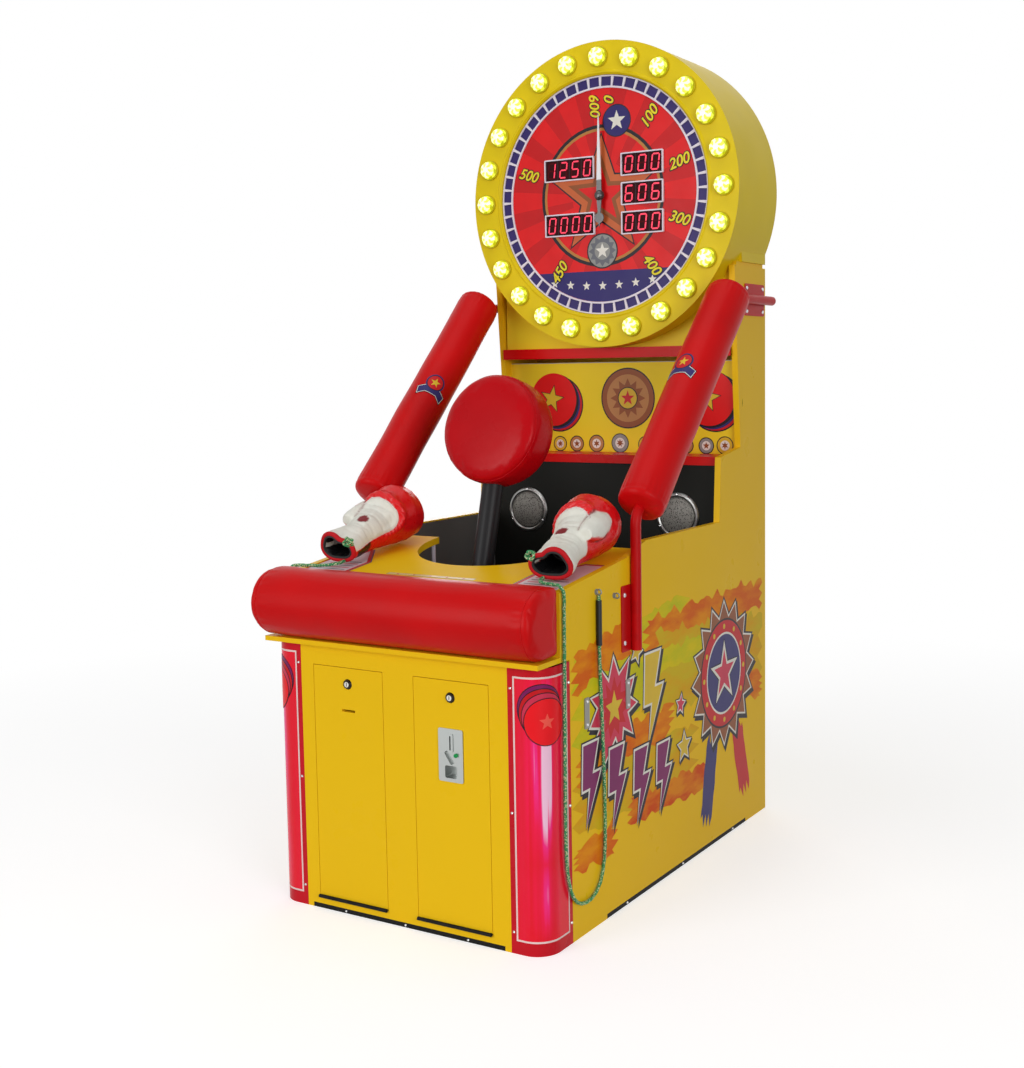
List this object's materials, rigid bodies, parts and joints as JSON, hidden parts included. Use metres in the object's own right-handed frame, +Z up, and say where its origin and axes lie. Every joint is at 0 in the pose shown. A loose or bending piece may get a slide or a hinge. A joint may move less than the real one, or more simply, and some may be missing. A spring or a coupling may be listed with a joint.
{
  "type": "boxing arcade machine",
  "caption": "Boxing arcade machine with a padded target on a folding arm, padded guard rails, a coin door cabinet and a round lamp-ringed dial head above the well.",
  "frame": {"origin": "bottom centre of the bounding box, on the floor under the middle of the machine", "axes": "+Z up; the player stands on the -Y side, +X is to the player's right"},
  "size_m": [0.97, 1.38, 2.3],
  "materials": {
    "yellow_board": "gloss laminate",
    "black_board": "satin paint",
    "base_wood": "matt",
    "black_strip": "matt",
    "corner_red": "gloss print",
    "bolster_vinyl": "satin vinyl",
    "guard_vinyl": "satin vinyl",
    "punch_vinyl": "satin vinyl",
    "glove_red": "gloss vinyl with white palm",
    "post_white": "gloss",
    "speaker_metal": "chromed grille",
    "graphic_yellow": "gloss print",
    "red_metal": "gloss",
    "header_yellow": "gloss",
    "head_yellow": "gloss paint",
    "ring_yellow": "gloss paint",
    "holder_yellow": "gloss",
    "lens_yellow": "clear dome, lit",
    "dial_red": "gloss print",
    "ring_white": "gloss",
    "display_white": "gloss",
    "motor_metal": "satin",
    "frame_black": "satin",
    "bearing_iron": "machined",
    "stop_rubber": "matt",
    "black_plastic": "matt",
    "steel": "brushed",
    "tray_board": "matt, with board",
    "grey_metal": "hammered paint",
    "fitting_grey": "satin",
    "rope_green": "twisted cord",
    "screw_chrome": "bright",
    "hinge_black": "satin",
    "arm_black": "satin",
    "pointer_metal": "brushed",
    "coin_metal": "cast and brushed",
    "button_green": "gloss",
    "switch_red": "gloss"
  },
  "bodies": {
    "cabinet": {"base_board": "base_wood", "skid_strips": "black_strip", "side_panel_left": "yellow_board", "side_panel_right": "yellow_board", "front_panel": "yellow_board", "corner_panel_left": "corner_red", "corner_panel_right": "corner_red", "bolster_boards": "yellow_board", "bolster_pad": "bolster_vinyl", "counter_top": "yellow_board", "counter_posts": "post_white", "well_liner": "black_board", "speaker_panel": "black_board", "speakers": "speaker_metal", "graphic_panel": "graphic_yellow", "trim_strips": "red_metal", "header_panel": "header_yellow", "column_top": "yellow_board", "rear_panel": "yellow_board", "drum_housing": "head_yellow", "bulb_ring": "ring_yellow", "bulb_holders": "holder_yellow", "bulb_lenses": "lens_yellow", "dial_face": "dial_red", "segment_ring": "ring_white", "score_displays": "display_white", "pointer_motor": "motor_metal", "guard_bar_left": "red_metal", "guard_bar_right": "red_metal", "guard_pad_left": "guard_vinyl", "guard_pad_right": "guard_vinyl", "pivot_frame": "frame_black", "bearing_blocks": "bearing_iron", "stop_bumpers": "stop_rubber", "arm_sensor": "black_plastic", "latch_solenoid": "grey_metal", "return_spring": "steel", "cash_box": "grey_metal", "electronics_tray": "tray_board", "power_inlet": "black_plastic", "side_fittings": "fitting_grey", "rope_left": "rope_green", "rope_right": "rope_green", "panel_screws": "screw_chrome", "door_hinges": "hinge_black"},
    "punch_arm": {"punch_arm": "arm_black", "punch_pad": "punch_vinyl"},
    "latch_bolt": {"latch_bolt": "steel"},
    "pointer": {"pointer": "pointer_metal"},
    "door_left": {"door_left": "yellow_board"},
    "door_right": {"door_right": "yellow_board", "coin_acceptor": "coin_metal"},
    "lock_left": {"lock_left": "screw_chrome"},
    "lock_right": {"lock_right": "screw_chrome"},
    "coin_button": {"coin_button": "button_green"},
    "rear_door": {"rear_door": "yellow_board"},
    "rear_lock": {"rear_lock": "screw_chrome"},
    "rocker_switch": {"rocker_switch": "switch_red"},
    "glove_left": {"glove_left": "glove_red"},
    "glove_right": {"glove_right": "glove_red"}
  },
  "joints": [
    {"name": "punch_fold", "type": "hinge", "parent": "cabinet", "child": "punch_arm", "pos_m": [0, -0.273, 0.76], "axis": [-1, 0, 0], "range_deg": [0, 75], "stiffness_Nm_per_rad": 60, "springref_deg": -17.19, "deforming": ["return_spring"]},
    {"name": "latch_slide", "type": "slide", "parent": "cabinet", "child": "latch_bolt", "axis": [-1, 0, 0], "range_m": [0, 0.012], "stiffness_N_per_m": 200, "springref_m": -0.004},
    {"name": "pointer_turn", "type": "hinge", "parent": "cabinet", "child": "pointer", "pos_m": [0, 0.396, 1.858], "axis": [0, 1, 0], "range_deg": [0, 345]},
    {"name": "door_left_swing", "type": "hinge", "parent": "cabinet", "child": "door_left", "pos_m": [-0.16, -0.6195, 0.033], "axis": [1, 0, 0], "range_deg": [0, 90]},
    {"name": "door_right_swing", "type": "hinge", "parent": "cabinet", "child": "door_right", "pos_m": [0.148, -0.6195, 0.033], "axis": [1, 0, 0], "range_deg": [0, 90]},
    {"name": "lock_left_turn", "type": "hinge", "parent": "door_left", "child": "lock_left", "pos_m": [-0.16, -0.615, 0.587], "axis": [0, -1, 0], "range_deg": [0, 90]},
    {"name": "lock_right_turn", "type": "hinge", "parent": "door_right", "child": "lock_right", "pos_m": [0.148, -0.615, 0.587], "axis": [0, -1, 0], "range_deg": [0, 90]},
    {"name": "coin_button_push", "type": "slide", "parent": "door_right", "child": "coin_button", "axis": [0, 1, 0], "range_m": [0, 0.004], "stiffness_N_per_m": 150, "springref_m": -0.002},
    {"name": "rear_door_swing", "type": "hinge", "parent": "cabinet", "child": "rear_door", "pos_m": [0.2, 0.6795, 0.51], "axis": [0, 0, -1], "range_deg": [0, 100]},
    {"name": "rear_lock_turn", "type": "hinge", "parent": "rear_door", "child": "rear_lock", "pos_m": [-0.158, 0.675, 0.51], "axis": [0, 1, 0], "range_deg": [0, 90]},
    {"name": "rocker_tilt", "type": "hinge", "parent": "cabinet", "child": "rocker_switch", "pos_m": [-0.25, 0.674, 0.106], "axis": [1, 0, 0], "range_deg": [0, 16]},
    {"name": "glove_left_lift", "type": "slide", "parent": "cabinet", "child": "glove_left", "axis": [0, -0.7071, 0.7071], "range_m": [0, 0.25]},
    {"name": "glove_right_lift", "type": "slide", "parent": "cabinet", "child": "glove_right", "axis": [0, -0.7071, 0.7071], "range_m": [0, 0.25]}
  ]
}
